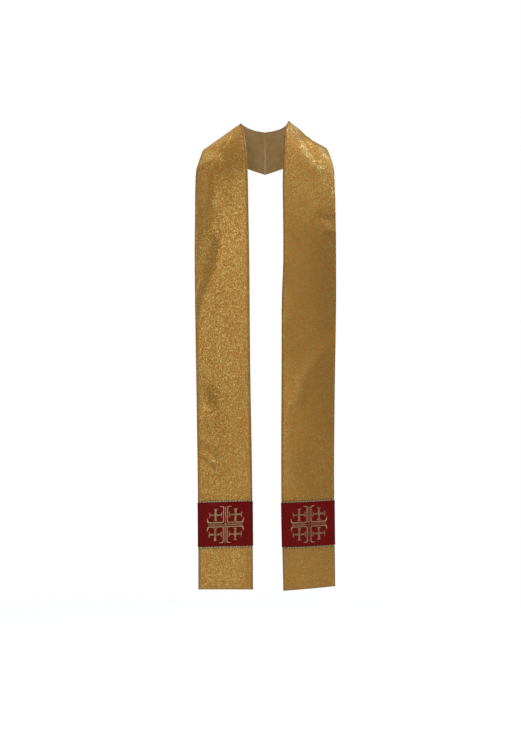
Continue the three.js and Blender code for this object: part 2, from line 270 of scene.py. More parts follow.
def band_skin(side):
    """A band's whole skin as rows of rings, from the hem up. A ring runs over the front from the
    inner edge to the outer and back over the lining. Front and lining stand off a middle surface
    by the wall's half thickness, which dies away at the rim; the middle surface is a parabola
    across three guide lines, plus the folds, a slow unevenness and the crinkle of the cloth."""
    sections = HANG[side] + NECK_TURN
    guides = [smooth_line(np.array([s[k] for s in sections], float)) for k in (1, 2, 3)]
    length = guides[0][1][-1]
    up = spaced(length, ROW_STEP)
    share = spaced(WIDTH, COLUMN_STEP) / WIDTH
    lines = []
    for k, (line, run) in enumerate(guides):
        slant = k / 2 * HEM_SLANT[side]
        d = up - slant * np.minimum(1, up / LOWER_CORD_UP)
        d = d + (run[-1] - length + slant) * (up / length) ** MITRE_FAN_POWER
        lines.append(np.stack([np.interp(d, run, line[:, axis]) for axis in range(3)], -1))
    inner, middle, outer = [line[:, None, :] for line in lines]
    t = share[None, :, None]
    base = inner * (1 - t) * (1 - 2 * t) + middle * 4 * t * (1 - t) + outer * t * (2 * t - 1)
    out = normals_of(base, 1)
    width = np.linalg.norm(base[:, 0] - base[:, -1], axis=1)[:, None]
    u, v = up[:, None] + 0 * t[..., 0], width * t[..., 0]

    seed = NOISE_SEED[side]
    near_seam = np.minimum(np.abs(u - LOWER_CORD_UP), np.abs(u - UPPER_CORD_UP))
    on_panel = (u > LOWER_CORD_UP) & (u < UPPER_CORD_UP)
    loose = np.where(on_panel, 0, 1 - np.exp(-((near_seam / LOOSE_FROM) ** 2)))
    edge = np.minimum(v, width - v)
    edge = np.minimum(edge, u)
    flatter = FLATTER * 4 * t[..., 0] * (1 - t[..., 0]) / (1 + np.exp((u - FLATTER_TO_UP) / FLATTER_FADE))
    folds = fold_lift(FOLDS[side], u, v) - flatter
    lift = folds + SLOW[0] * soft_noise(seed, u, v, SLOW[1]) * from_edge(edge, SLOW_FROM_EDGE)
    for k, (height, cell) in enumerate(CRINKLE):
        lift = lift + height * loose * soft_noise(seed + 1 + k, u, v, cell)
    starts, ends = PUCKER_REACH
    pucker = soft_noise(seed + 4, 0 * u, v, PUCKER[1]) * np.exp(-near_seam / ends)
    lift = lift + PUCKER[0] * np.where(on_panel, 0, pucker * (1 - np.exp(-near_seam / starts)))
    lift = lift + bell(length - u, (SEAM_DIP[0], 0, SEAM_DIP[1]))
    for row in EDGE_RELIEF:
        lift = lift + bell(edge, row)
    height, reach, slope = ALLOWANCE
    lift = lift + height / (1 + np.exp((edge - reach) / slope))

    rim = from_edge(v, ROLL_RADIUS) * from_edge(width - v, ROLL_RADIUS)
    rim = rim * from_edge(u, ROLL_RADIUS) * from_edge(length - u, SEAM_RADIUS)
    backing = BACKING[0] * soft_noise(seed + 5, u, v, BACKING[1]) + bell(edge, LINING_GROOVE)
    half = BAND_WALL / 2
    centre = base + out * [0, 1, 1] * folds[..., None] - out * half
    front = centre + out * (rim * (half + lift - folds))[..., None]
    lining = centre - out * (rim * (half + backing))[..., None]
    ring = np.concatenate([front, lining[:, -2:0:-1]], axis=1) * MM
    ring[-1, :, 0] = SEAM_GAP / 2 * MM
    if side == "right":
        ring[..., 0] *= -1
    ring_v = np.concatenate([v, (2 * width - v)[:, -2:0:-1]], axis=1)
    return {
        "turn": -1 if side == "right" else 1,
        "columns": len(share) - 1,
        "up": up,
        "across": ring_v,
        "points": ring,
        "length": length,
        "width": width[:, 0],
        "edge": np.concatenate([np.minimum(edge, near_seam), edge[:, -2:0:-1]], axis=1),
        "outer_length": guides[2][1][-1],
    }


def mesh_piece(name, points, faces, materials, face_material=None, uv=None, from_edge_m=None):
    """A smooth mesh piece at the origin, from points in metres and faces of four corners."""
    mesh = bpy.data.meshes.new(name)
    mesh.vertices.add(len(points))
    mesh.vertices.foreach_set("co", np.asarray(points, np.float32).ravel())
    mesh.loops.add(faces.size)
    mesh.loops.foreach_set("vertex_index", faces.astype(np.int32).ravel())
    mesh.polygons.add(len(faces))
    mesh.polygons.foreach_set("loop_start", np.arange(0, faces.size, 4, dtype=np.int32))
    mesh.polygons.foreach_set("use_smooth", np.ones(len(faces), bool))
    for material in materials:
        mesh.materials.append(material)
    if face_material is not None:
        mesh.polygons.foreach_set("material_index", face_material.astype(np.int32).ravel())
    if uv is not None:
        layer = mesh.uv_layers.new(name="cloth")
        layer.data.foreach_set("uv", uv.astype(np.float32).ravel())
    if from_edge_m is not None:
        layer = mesh.attributes.new("from_edge", "FLOAT", "POINT")
        layer.data.foreach_set("value", from_edge_m.astype(np.float32))
    mesh.update(calc_edges=True)
    piece = bpy.data.objects.new(name, mesh)
    bpy.context.scene.collection.objects.link(piece)
    return piece


def quads(index):
    """The faces of a grid of point numbers, one to each cell, as its four corners in turn."""
    return np.stack([index[:-1, :-1], index[:-1, 1:], index[1:, 1:], index[1:, :-1]], -1)


def new_material(name):
    """An empty node material with its shader, and a maker of further nodes for it."""
    material = bpy.data.materials.new(name)
    material.use_nodes = True
    tree = material.node_tree
    shader = tree.nodes["Principled BSDF"]

    def node(kind, inputs=None, **settings):
        """A node with its settings, and its inputs set to values or linked to sockets."""
        made = tree.nodes.new("ShaderNode" + kind)
        for key, value in settings.items():
            setattr(made, key, value)
        for key, value in (inputs or {}).items():
            if isinstance(value, bpy.types.NodeSocket):
                tree.links.new(value, made.inputs[key])
            else:
                made.inputs[key].default_value = value
        return made

    return material, shader, node, tree.links.new


def ramp(node, fac, stops):
    """A colour ramp over fac, through stops of (place, colour)."""
    made = node("ValToRGB", {"Fac": fac})
    elements = made.color_ramp.elements
    while len(elements) < len(stops):
        elements.new(0.5)
    for element, (place, colour) in zip(elements, stops):
        element.position = place
        element.color = (*colour, 1)
    return made.outputs["Color"]


def mapped(node, value, old, new):
    """The value carried in proportion from the old range to the new one, and held at its ends."""
    inputs = {"Value": value, "From Min": old[0], "From Max": old[1], "To Min": new[0], "To Max": new[1]}
    return node("MapRange", inputs).outputs["Result"]


def gold_cloth():
    """Gold metal-thread cloth. Flakes of metal thread, each with its own tilt, gloss and colour,
    lie in a golden-brown ground whose tone varies at random, with shade painted darker along the edges,
    the hem and the panels' seams, where the cloth turns away or the cords shade it; a crinkle
    and a plain weave lie under them."""
    material, shader, node, link = new_material("gold metal-thread cloth")
    place = node("UVMap", uv_map="cloth").outputs["UV"]
    flake = node("TexVoronoi", {"Vector": place, "Scale": 600, "Randomness": 1}).outputs["Color"]
    shine = node("SeparateColor", {"Color": flake}).outputs["Red"]
    colour = ramp(node, shine, [
        (0.1, (0.47, 0.18, 0.020)),
        (0.65, (0.49, 0.25, 0.042)),
        (0.95, (0.59, 0.45, 0.15)),
    ])
    tone_and_edge_shade = node("SeparateColor", {"Color": flake}).outputs["Green"]
    tone_and_edge_shade = mapped(node, tone_and_edge_shade, (0, 1), (0.88, 1.12))
    # Painted shade: the colour is darkened to 0.68 within 1.5 to 5 mm of the edges, the hem and the cords,
    # for the shade of the turned edges and of the cords.
    painted_edge_shade = node("Attribute", attribute_name="from_edge").outputs["Fac"]
    painted_edge_shade = mapped(node, painted_edge_shade, (0.0015, 0.005), (0.68, 1))
    tone_and_edge_shade = node("Math", {0: tone_and_edge_shade, 1: painted_edge_shade}, operation="MULTIPLY").outputs[0]
    colour = node("VectorMath", {0: colour, "Scale": tone_and_edge_shade}, operation="SCALE").outputs["Vector"]
    link(colour, shader.inputs["Base Color"])
    link(mapped(node, shine, (0.2, 0.8), (0.5, 0.85)), shader.inputs["Metallic"])
    link(mapped(node, shine, (0.2, 0.8), (0.52, 0.38)), shader.inputs["Roughness"])
    crinkle = node("TexNoise", {"Vector": place, "Scale": 320, "Detail": 2, "Roughness": 0.6})
    thread_run = {"Vector": place, "Scale": 200, "Distortion": 0.6, "Detail": 1}
    warp = node("TexWave", thread_run, bands_direction="X").outputs["Fac"]
    weft = node("TexWave", thread_run, bands_direction="Y").outputs["Fac"]
    weave = node("Math", {0: warp, 1: weft}, operation="MULTIPLY").outputs[0]
    fine = node("Bump", {"Strength": 0.3, "Distance": 0.0002, "Height": weave}).outputs["Normal"]
    crinkled = {"Strength": 1, "Distance": 0.0003, "Height": crinkle.outputs["Fac"], "Normal": fine}
    large = node("Bump", crinkled)
    tilt = node("VectorMath", {0: flake, 1: (0.5, 0.5, 0.5)}, operation="SUBTRACT")
    tilt = node("VectorMath", {0: tilt.outputs["Vector"], "Scale": 0.26}, operation="SCALE")
    tilted = node("VectorMath", {0: large.outputs["Normal"], 1: tilt.outputs["Vector"]}, operation="ADD")
    tilted = node("VectorMath", {0: tilted.outputs["Vector"]}, operation="NORMALIZE")
    link(tilted.outputs["Vector"], shader.inputs["Normal"])
    return material


def lining_cloth():
    """Plain old-gold satin: fine ribs across, and soft slubs that vary the colour."""
    material, shader, node, link = new_material("old-gold satin lining")
    place = node("UVMap", uv_map="cloth").outputs["UV"]
    slub = node("TexNoise", {"Vector": place, "Scale": 60, "Detail": 3})
    colour = ramp(node, slub.outputs["Fac"], [(0.3, (0.40, 0.24, 0.075)), (0.7, (0.50, 0.31, 0.105))])
    link(colour, shader.inputs["Base Color"])
    rib = node("TexWave", {"Vector": place, "Scale": 300, "Distortion": 0.3}, bands_direction="Y")
    fine = node("Bump", {"Strength": 0.35, "Distance": 0.0002, "Height": rib.outputs["Fac"]})
    link(fine.outputs["Normal"], shader.inputs["Normal"])
    shader.inputs["Roughness"].default_value = 0.42
    shader.inputs["Sheen Weight"].default_value = 0.3
    return material


gold = gold_cloth()
lining = lining_cloth()
skins, bands = {}, {}
for side in ("right", "left"):
    skin = band_skin(side)
    rows, ring = skin["points"].shape[:2]
    columns = skin["columns"]
    number = np.arange(rows * ring).reshape(rows, ring)
    # At the hem and the centre-back seam, front and lining share their points.
    number[[0, -1], columns + 1:] = number[[0, -1], columns - 1:0:-1]
    number = np.concatenate([number, number[:, :1]], axis=1)
    across = np.concatenate([skin["across"], 2 * skin["width"][:, None]], axis=1)
    uv = np.stack([across, np.broadcast_to(skin["up"][:, None], across.shape)], -1) * MM
    corners = [uv[:-1, :-1], uv[:-1, 1:], uv[1:, 1:], uv[1:, :-1]]
    faces, uv = quads(number), np.stack(corners, 2)
    centre = (across[:-1, 1:] + across[:-1, :-1]) / 2
    behind = centre > skin["width"][:-1, None]
    in_from = np.minimum(centre - skin["width"][:-1, None], 2 * skin["width"][:-1, None] - centre)
    is_lining = behind & (in_from > LINING_IN) & (skin["up"][:-1, None] > LINING_IN)
    if skin["turn"] < 0:
        faces, uv = faces[..., ::-1], uv[..., ::-1, :]
    used, compact = np.unique(faces, return_inverse=True)
    band = mesh_piece(
        side + "_gold_band",
        skin["points"].reshape(-1, 3)[used],
        compact.reshape(-1, 4),
        [gold, lining],
        is_lining,
        uv,
        skin["edge"].ravel()[used] * MM,
    )
    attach(band, "root")
    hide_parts(side + "_band")
    skins[side], bands[side] = skin, band

# ---------------------------------------------------------------- the red panels
# A panel of plain wine-red cloth lies over each band near its hem, turned in at the top and bottom
# and caught with the gold cloth in the side seams, with a row of stitches near each side.
PANEL_WALL = 0.8
PANEL_CLEAR = 0.3  # between the panel and the gold cloth under it
PANEL_ROW_STEP = 2.0
PANEL_EDGE_RADIUS = 0.5
TURN_IN = (0.25, 7, 0.6)  # height, width and slope of the step that the turned-in cloth makes
CORD_THICK = 3.5
PANEL_LOW = LOWER_CORD_UP + CORD_THICK / 2 + PANEL_CLEAR
PANEL_HIGH = UPPER_CORD_UP - CORD_THICK / 2 - PANEL_CLEAR
WRAP = 4  # columns by which the panel goes round the rim on each side


def ring_normals(skin):
    """The outward direction all over a band's skin, from the neighbours along and across the ring."""
    p = skin["points"]
    along = np.roll(p, -1, axis=1) - np.roll(p, 1, axis=1)
    n = skin["turn"] * np.cross(along, np.gradient(p, axis=0))
    return n / np.maximum(np.linalg.norm(n, axis=2, keepdims=True), 1e-12)


def strip_of(skin, up, from_column, to_column):
    """The part of a skin between two ring columns, at the given distances above the hem: points and
    outward directions, by straight lines between the rows."""
    ring = skin["points"].shape[1]
    pick = np.arange(from_column, to_column + 1) % ring
    place = np.interp(up, skin["up"], np.arange(len(skin["up"])))
    low = np.minimum(place.astype(int), len(skin["up"]) - 2)
    w = (place - low)[:, None, None]
    points = skin["points"][low][:, pick] * (1 - w) + skin["points"][low + 1][:, pick] * w
    out = skin["normals"][low][:, pick] * (1 - w) + skin["normals"][low + 1][:, pick] * w
    return points, out / np.linalg.norm(out, axis=2, keepdims=True)


def red_cloth():
    """Plain-woven wine-red cloth: a fine weave in the bump, faint slubs, and shade painted into the
    colour, darker where the side edges turn away."""
    material, shader, node, link = new_material("wine-red cloth")
    place = node("UVMap", uv_map="cloth").outputs["UV"]
    slub = node("TexNoise", {"Vector": place, "Scale": 90, "Detail": 3})
    dark, light = (0.178, 0.0054, 0.0050), (0.204, 0.0070, 0.0062)
    colour = ramp(node, slub.outputs["Fac"], [(0.3, dark), (0.7, light)])
    # Painted shade: the colour darkens to 0.65 over the outer few millimetres of each side, where the edges
    # turn away.
    across = node("SeparateXYZ", {"Vector": place}).outputs["X"]
    out = node("Math", {0: across}, operation="ABSOLUTE").outputs[0]
    turned = mapped(node, out, (0.0625, 0.0665), (1, 0.65))
    colour = node("VectorMath", {0: colour, "Scale": turned}, operation="SCALE").outputs["Vector"]
    link(colour, shader.inputs["Base Color"])
    warp = node("TexWave", {"Vector": place, "Scale": 260, "Distortion": 0.4}, bands_direction="X")
    weft = node("TexWave", {"Vector": place, "Scale": 260, "Distortion": 0.4}, bands_direction="Y")
    weave = node("Math", {0: warp.outputs["Fac"], 1: weft.outputs["Fac"]}, operation="ADD")
    fine = node("Bump", {"Strength": 0.4, "Distance": 0.0002, "Height": weave.outputs[0]})
    link(fine.outputs["Normal"], shader.inputs["Normal"])
    shader.inputs["Roughness"].default_value = 0.85
    shader.inputs["Specular IOR Level"].default_value = 0.1
    return material


red = red_cloth()
panels, panel_tops = {}, {}
for side in ("right", "left"):
    skin = skins[side]
    skin["normals"] = ring_normals(skin)
    up = PANEL_LOW + spaced(PANEL_HIGH - PANEL_LOW, PANEL_ROW_STEP)
    points, out = strip_of(skin, up, -WRAP, skin["columns"] + WRAP)
    turned = from_edge(up - PANEL_LOW, PANEL_EDGE_RADIUS) * from_edge(PANEL_HIGH - up, PANEL_EDGE_RADIUS)
    height, reach, slope = TURN_IN
    doubled = height / (1 + np.exp((np.minimum(up - PANEL_LOW, PANEL_HIGH - up) - reach) / slope))
    sides = np.ones(points.shape[1])
    sides[[0, -1]] = 0
    closing = turned[:, None] * sides
    half = PANEL_WALL / 2 * closing
    middle = PANEL_CLEAR + PANEL_WALL / 2
    top = points + out * ((middle + half + doubled[:, None] * closing) * MM)[..., None]
    under = points + out * ((middle - half) * MM)[..., None]
    rows, columns = points.shape[:2]
    upper = np.arange(rows * columns).reshape(rows, columns)
    lower = upper + rows * columns
    rim = np.ones((rows, columns), bool)
    rim[1:-1, 1:-1] = False
    lower = np.where(rim, upper, lower)
    faces = np.concatenate([quads(upper).reshape(-1, 4), quads(lower).reshape(-1, 4)[:, ::-1]])
    flat_across = np.append(0, np.cumsum(np.linalg.norm(np.diff(points[rows // 2], axis=0), axis=1)))
    flat_across = flat_across - flat_across[-1] / 2
    uv = np.stack(np.broadcast_arrays(flat_across[None, :], up[:, None] * MM), -1).reshape(-1, 2)
    uv = np.concatenate([uv, uv])[faces]
    if skin["turn"] < 0:
        faces, uv = faces[:, ::-1], uv[:, ::-1]
    used, compact = np.unique(faces, return_inverse=True)
    every = np.concatenate([top.reshape(-1, 3), under.reshape(-1, 3)])
    panel = mesh_piece(side + "_red_panel", every[used], compact.reshape(-1, 4), [red], None, uv)
    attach(panel, "root")
    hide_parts(side + "_panel")
    panels[side] = panel
    panel_tops[side] = {"up": up, "points": top[:, WRAP:-WRAP], "turn": skin["turn"]}

# ---------------------------------------------------------------- the twisted cords
# A gimp cord of two light and two dark plies runs over the upper and the lower edge of each panel;
# on the left band the light plies are painted darker, as shade, than on the right. It is couched
# down by hand, so its twist is uneven, and its ends dive into the cloth just inside the rolled edges.
PLY_THICK = 1.6
PLY_SIDES = 8
RINGS_PER_TURN = 14
TWIST = 6.8  # the cord's length for one turn of the plies
CORD_OUT = 1.9  # of the cord's middle line over the gold cloth
CORD_IN = 1.4  # from the band's edge to the cord's end
CORD_DIVE = 0.8  # of the cord's ends under the gold cloth
CORD_DIVE_RADIUS = 2.0
PLY_END_RADIUS = 1.5
PLY_END_LEFT = 0.02  # share of its thickness that is left at a ply's very end

# The twist runs ahead and falls behind in two waves, of (radians, length of a wave / 2 pi).
UNEVEN_TWIST = [(0.9, 6.1), (0.8, 3.7)]


def tube(line, radius, side_way, sides):
    """A closed tube along a line of points: a ring of points round each, at that radius, in the plane
    of two directions square to the line. Fans of four-cornered faces close its two ends."""
    along = np.gradient(line, axis=0)
    along = along / np.linalg.norm(along, axis=1, keepdims=True)
    second = np.cross(along, side_way)
    second = second / np.linalg.norm(second, axis=1, keepdims=True)
    first = np.cross(second, along)
    angle = np.linspace(0, 2 * np.pi, sides, endpoint=False)
    ring = first[:, None] * np.cos(angle)[:, None] + second[:, None] * np.sin(angle)[:, None]
    points = line[:, None] + ring * radius[:, None, None]
    number = np.arange(points.shape[0] * sides).reshape(-1, sides)
    fan = np.arange(1, sides - 2, 2)[:, None] + [0, 1, 2]
    fan = np.column_stack([np.zeros(len(fan), int), fan])
    ends = np.concatenate([number[0][fan[:, ::-1]], number[-1][fan]])
    number = np.concatenate([number, number[:, :1]], axis=1)
    return points.reshape(-1, 3), np.concatenate([quads(number).reshape(-1, 4), ends])


def thread(name, light, dark, rough, per_metre):
    """Metal thread: fine wraps of foil round a core, light where they lie close and dark where the
    core shows."""
    material, shader, node, link = new_material(name)
    place = node("TexCoord").outputs["Object"]
    wrap = node("TexNoise", {"Vector": place, "Scale": per_metre, "Detail": 2})
    link(ramp(node, wrap.outputs["Fac"], [(0.35, dark), (0.65, light)]), shader.inputs["Base Color"])
    fine = node("Bump", {"Strength": 0.6, "Distance": 0.0002, "Height": wrap.outputs["Fac"]})
    link(fine.outputs["Normal"], shader.inputs["Normal"])
    shader.inputs["Roughness"].default_value = rough
    shader.inputs["Metallic"].default_value = 0.3
    return material


light_plies = {
    "right": thread("light gold ply", (0.86, 0.71, 0.41), (0.60, 0.45, 0.23), 0.4, 900),
    # Painted shade: the left band's light ply is a darker copy of the right band's, the same thread in
    # shade.
    "left": thread("light gold ply painted in shade", (0.66, 0.52, 0.28), (0.44, 0.32, 0.15), 0.45, 900),
}
dark_ply = thread("dark bronze ply", (0.20, 0.10, 0.03), (0.06, 0.03, 0.012), 0.5, 900)
for side in ("right", "left"):
    skin = skins[side]
    for place, cord_up in (("lower", LOWER_CORD_UP), ("upper", UPPER_CORD_UP)):
        points, out = strip_of(skin, np.array([cord_up]), 0, skin["columns"])
        points, out = points[0], out[0]
        run = np.append(0, np.cumsum(np.linalg.norm(np.diff(points, axis=0), axis=1)))
        total = run[-1]
        s = np.linspace(CORD_IN * MM, total - CORD_IN * MM, int(total / MM / TWIST * RINGS_PER_TURN))
        line = np.stack([np.interp(s, run, points[:, axis]) for axis in range(3)], -1)
        away = np.stack([np.interp(s, run, out[:, axis]) for axis in range(3)], -1)
        away = away / np.linalg.norm(away, axis=1, keepdims=True)
        from_end = np.minimum(s, total - s) - CORD_IN * MM
        ends = from_edge(from_end, CORD_DIVE_RADIUS * MM)
        line = line + away * ((CORD_OUT + CORD_DIVE) * ends - CORD_DIVE)[:, None] * MM
        along = np.gradient(line, axis=0)
        along = along / np.linalg.norm(along, axis=1, keepdims=True)
        beside = np.cross(along, away)
        (slow, slow_length), (quick, quick_length) = UNEVEN_TWIST
        uneven = slow * np.sin(s / (slow_length * MM) + cord_up) + quick * np.sin(s / (quick_length * MM))
        meshes, kinds, count = [], [], 0
        for ply in range(4):
            phase = 2 * np.pi * (s / (TWIST * MM) + ply / 4) + uneven
            off = away * np.sin(phase)[:, None] + beside * np.cos(phase)[:, None]
            centre = line + off * (CORD_THICK - PLY_THICK) / 2 * MM
            shrink = np.maximum(from_edge(from_end, PLY_END_RADIUS * MM), PLY_END_LEFT)
            ring, ring_faces = tube(centre, PLY_THICK / 2 * MM * shrink, off, PLY_SIDES)
            meshes.append((ring, ring_faces + count))
            kinds.append(np.full(len(ring_faces), ply // 2))
            count += len(ring)
        cord = mesh_piece(
            f"{side}_{place}_gimp_cord",
            np.concatenate([m[0] for m in meshes]),
            np.concatenate([m[1] for m in meshes]),
            [light_plies[side], dark_ply],
            np.concatenate(kinds),
        )
        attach(cord, "root")
        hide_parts(f"{side}_{place}_cord")

# ---------------------------------------------------------------- the embroidered crosses
# A Jerusalem cross in gold metal thread is worked on each panel: a great cross whose outlines are
# couched in bright thread and end in pointed serifs, and a small cross of duller satin stitch in
# each corner. Chains, lines and crossed stitches fill the arms of the great cross.
THREAD_RADIUS = {"right": 0.36, "left": 0.26}
STITCH_PITCH = 0.7
ARCH = 0.3  # by so much a satin stitch rises over the cloth

# Half of one outline of an arm of the great cross, from the corner to the tip of its serif, as
# [along the arm, out from its middle line, width of the stitches].
POST_OUTLINE = [
    (5.9, 5.5, 1.9), (7.5, 5.0, 2.0), (39, 4.9, 2.1), (43, 5.0, 2.3),
    (44.4, 5.8, 2.4), (44.8, 7.8, 2.3), (45, 10.5, 1.9), (45.5, 15, 0.9),
]
BEAM_OUTLINE = [
    (5.5, 5.9, 1.9), (7.5, 5.4, 2.1), (38, 5.3, 2.3), (42, 5.5, 3.0),
    (43.7, 6.9, 3.9), (44.4, 9.2, 3.3), (44.9, 12, 2.3), (45.4, 16, 1.1),
]

# The post of a small cross and the ends of its side arms, in the same way, and where the slanting
# stitches of those arms lie: from and to along the arm, half width, pitch and lean.
SMALL_POST_HALF = [(11.4, 5.7), (13, 7.4), (14.4, 10.4), (15.4, 13)]
SMALL_POST = [(-along, 0, width) for along, width in SMALL_POST_HALF[::-1]]
SMALL_POST += [(along, 0, width) for along, width in SMALL_POST_HALF]
SMALL_END = [(-7.3, 15.6, 1.6), (-4, 15, 2.5), (4, 15, 2.5), (7.3, 15.6, 1.6)]
SMALL_ARM = (3, 14, 2.4, 1.5, 1.4)
SMALL_OFF = (25, 24.3)  # across and up, from the middle of the great cross
CROSS_AT = {"right": (0.3, -1.0), "left": (1.4, -0.1)}  # from the middle of the panel
CROSS_LEAN = {"right": (0.026, 0.008), "left": (0.01, 0.016)}  # across for each up, up for each across
UNSTEADY = 0.12  # by so much an end of a stitch may miss its place


def satin(stops, pitch):
    """Satin stitches across a bar: the bar's middle line goes through the stops, and at every pitch
    along it a stitch runs square to it, as wide as the bar is there. Returns both ends of each."""
    stops = np.array(stops, float)
    run = np.append(0, np.cumsum(np.linalg.norm(np.diff(stops[:, :2], axis=0), axis=1)))
    s = np.arange(pitch / 2, run[-1], pitch)
    x, y, width = [np.interp(s, run, stops[:, k]) for k in range(3)]
    way = np.stack([np.gradient(x), np.gradient(y)], -1)
    way = way / np.linalg.norm(way, axis=1, keepdims=True)
    half = np.stack([-way[:, 1], way[:, 0]], -1) * width[:, None] / 2
    middle = np.stack([x, y], -1)
    return np.stack([middle - half, middle + half], 1)


def slanting(start, end, half_width, pitch, lean):
    """Separate slanting stitches along a straight middle line: each crosses it from one side to the
    other while it moves on by the lean."""
    start, end = np.array(start, float), np.array(end, float)
    length = np.linalg.norm(end - start)
    way = (end - start) / length
    side_way = np.array([-way[1], way[0]])
    s = np.arange(pitch / 2, length, pitch)[:, None]
    middle = start + way * s
    off = side_way * half_width + way * lean / 2
    return np.stack([middle - off, middle + off], 1)


def chain(start, end, bead, pitch):
    """A chain stitch as a row of beads along a straight line, each of three short satin stitches."""
    start, end = np.array(start, float), np.array(end, float)
    length = np.linalg.norm(end - start)
    way = (end - start) / length
    side_way = np.array([-way[1], way[0]])
    first = np.arange(pitch / 2, length, pitch)[:, None] + np.array([-0.65, 0, 0.65])
    middle = start + way * first.ravel()[:, None]
    half = side_way * bead / 2 * np.tile([0.7, 1, 0.7], len(first))[:, None]
    return np.stack([middle - half, middle + half], 1)


def cross_stitches(side):
    """The stitches of one embroidered cross on the flat cloth, as both ends of each: first those in
    bright thread, then those in the duller one."""
    bright, dull = [], []
    for flip_x in (1, -1):
        for flip_y in (1, -1):
            flip = [flip_x, flip_y]
            bright.append(satin(POST_OUTLINE, STITCH_PITCH)[..., ::-1] * flip)
            bright.append(satin(BEAM_OUTLINE, STITCH_PITCH) * flip)
            corner = np.array(SMALL_OFF) * flip
            dull.append(satin(SMALL_POST, STITCH_PITCH)[..., ::-1] + corner)
            near, far, half_width, pitch, lean = SMALL_ARM
            for way in (1, -1):
                start, end = corner + [near * way, 0], corner + [far * way, 0]
                dull.append(slanting(start, end, half_width, pitch, lean))
                dull.append(slanting(start, end, half_width, pitch, -lean))
                dull.append(satin(SMALL_END, STITCH_PITCH)[..., ::-1] * [way, 1] + corner)
    # The arms to the sides: crossed stitches in one, lines and then crossed stitches in the other.
    for lean in (4.2, -4.2):
        dull.append(slanting((-7, 0), (-43, 0), 3.4, 3.0, lean))
        dull.append(slanting((31, 0), (43, 0), 3.4, 3.0, lean))
    lower_line = satin([(-6, -1.3, 1.3), (31, -1.3, 1.3)], STITCH_PITCH)
    (bright if side == "right" else dull).append(lower_line)
    dull.append(satin([(-3, 1.9, 1.1), (31, 1.9, 1.1)], STITCH_PITCH))
    # The upper and lower arms: a chain down the middle of one and crossed stitches in the other, on
    # the left band thin crossed stitches in one and two lines in the other.
    if side == "right":
        bright.append(chain((0, -1), (0, 44), 3.0, 3.3))
        bright.append(satin([(-6, -5.3, 1.7), (6, -5.3, 1.7)], STITCH_PITCH))
        dull.extend([slanting((0, -6), (0, -44), 3.2, 2.6, lean) for lean in (3.6, -3.6)])
    else:
        dull.extend([slanting((0, 4), (0, 43), 2.8, 4.4, lean) for lean in (3.0, -3.0)])
        dull.append(satin([(-1.6, 0, 0.9), (-1.6, -44, 0.9)], STITCH_PITCH))
        dull.append(satin([(1.6, 0, 0.9), (1.6, -44, 0.9)], STITCH_PITCH))
    bright.append(satin([(0, 4, 1.3), (0, 44, 1.3)], 3 * STITCH_PITCH))
    return np.concatenate(bright), np.concatenate(dull)


def stitch_mesh(start, end, out, radius, arch):
    """Short flat-lying threads from start to end points, each a ring of four points carried over five
    places: the thread rises by the arch in its middle and dips into the cloth, thinner, at both
    ends."""
    share = np.array([0, 0.14, 0.5, 0.86, 1])
    rise = np.array([-0.9, 0.5, 1, 0.5, -0.9]) * arch
    thick = np.array([0.35, 0.9, 1, 0.9, 0.35]) * radius
    along = end - start
    length = np.linalg.norm(along, axis=1, keepdims=True)
    along = along / np.maximum(length, 1e-9)
    beside = np.cross(along, out)
    beside = beside / np.linalg.norm(beside, axis=1, keepdims=True)
    up_way = np.cross(beside, along)
    line = start[:, None] + (end - start)[:, None] * share[:, None] + up_way[:, None] * rise[:, None]
    angle = np.arange(4) * np.pi / 2
    ring = up_way[:, None] * 0.6 * np.cos(angle)[:, None] + beside[:, None] * np.sin(angle)[:, None]
    points = line[:, :, None] + ring[:, None] * thick[:, None, None]
    number = np.arange(20).reshape(5, 4)
    number = np.concatenate([number, number[:, :1]], axis=1)
    faces = np.concatenate([quads(number).reshape(-1, 4), [[3, 2, 1, 0], [16, 17, 18, 19]]])
    faces = faces + 20 * np.arange(len(start))[:, None, None]
    return points.reshape(-1, 3), faces.reshape(-1, 4)


def grid_at(grid, row, column):
    """Points of a grid between its rows and columns, by straight lines both ways."""
    i = np.clip(row.astype(int), 0, grid.shape[0] - 2)
    j = np.clip(column.astype(int), 0, grid.shape[1] - 2)
    s, t = (row - i)[..., None], (column - j)[..., None]
    low = grid[i, j] * (1 - t) + grid[i, j + 1] * t
    high = grid[i + 1, j] * (1 - t) + grid[i + 1, j + 1] * t
    return low * (1 - s) + high * s


bright_thread = thread("bright couched gold thread", (0.92, 0.81, 0.46), (0.62, 0.48, 0.22), 0.4, 420)
dull_thread = thread("dull gold embroidery thread", (0.80, 0.60, 0.30), (0.26, 0.15, 0.06), 0.45, 360)
for side in ("right", "left"):
    top = panel_tops[side]
    grid = top["points"]
    out = normals_of(grid, top["turn"])
    across = np.append(0, np.cumsum(np.linalg.norm(np.diff(grid[len(grid) // 2], axis=0), axis=1))) / MM
    bright, dull = cross_stitches(side)
    flat = np.concatenate([bright, dull])
    flat = flat + np.random.default_rng(5).uniform(-UNSTEADY, UNSTEADY, flat.shape)
    flat = flat + flat[..., ::-1] * CROSS_LEAN[side] + CROSS_AT[side]
    row = np.interp((PANEL_LOW + PANEL_HIGH) / 2 + flat[..., 1], top["up"], np.arange(len(top["up"])))
    column = np.interp(across[-1] / 2 + top["turn"] * flat[..., 0], across, np.arange(len(across)))
    place, away = grid_at(grid, row, column), grid_at(out, row, column)
    points, faces = stitch_mesh(place[:, 0], place[:, 1], away.mean(1), THREAD_RADIUS[side] * MM, ARCH * MM)
    is_dull = np.repeat(np.arange(len(flat)) >= len(bright), len(faces) // len(flat))
    cross = mesh_piece(side + "_embroidered_cross", points, faces, [bright_thread, dull_thread], is_dull)
    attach(cross, "root")

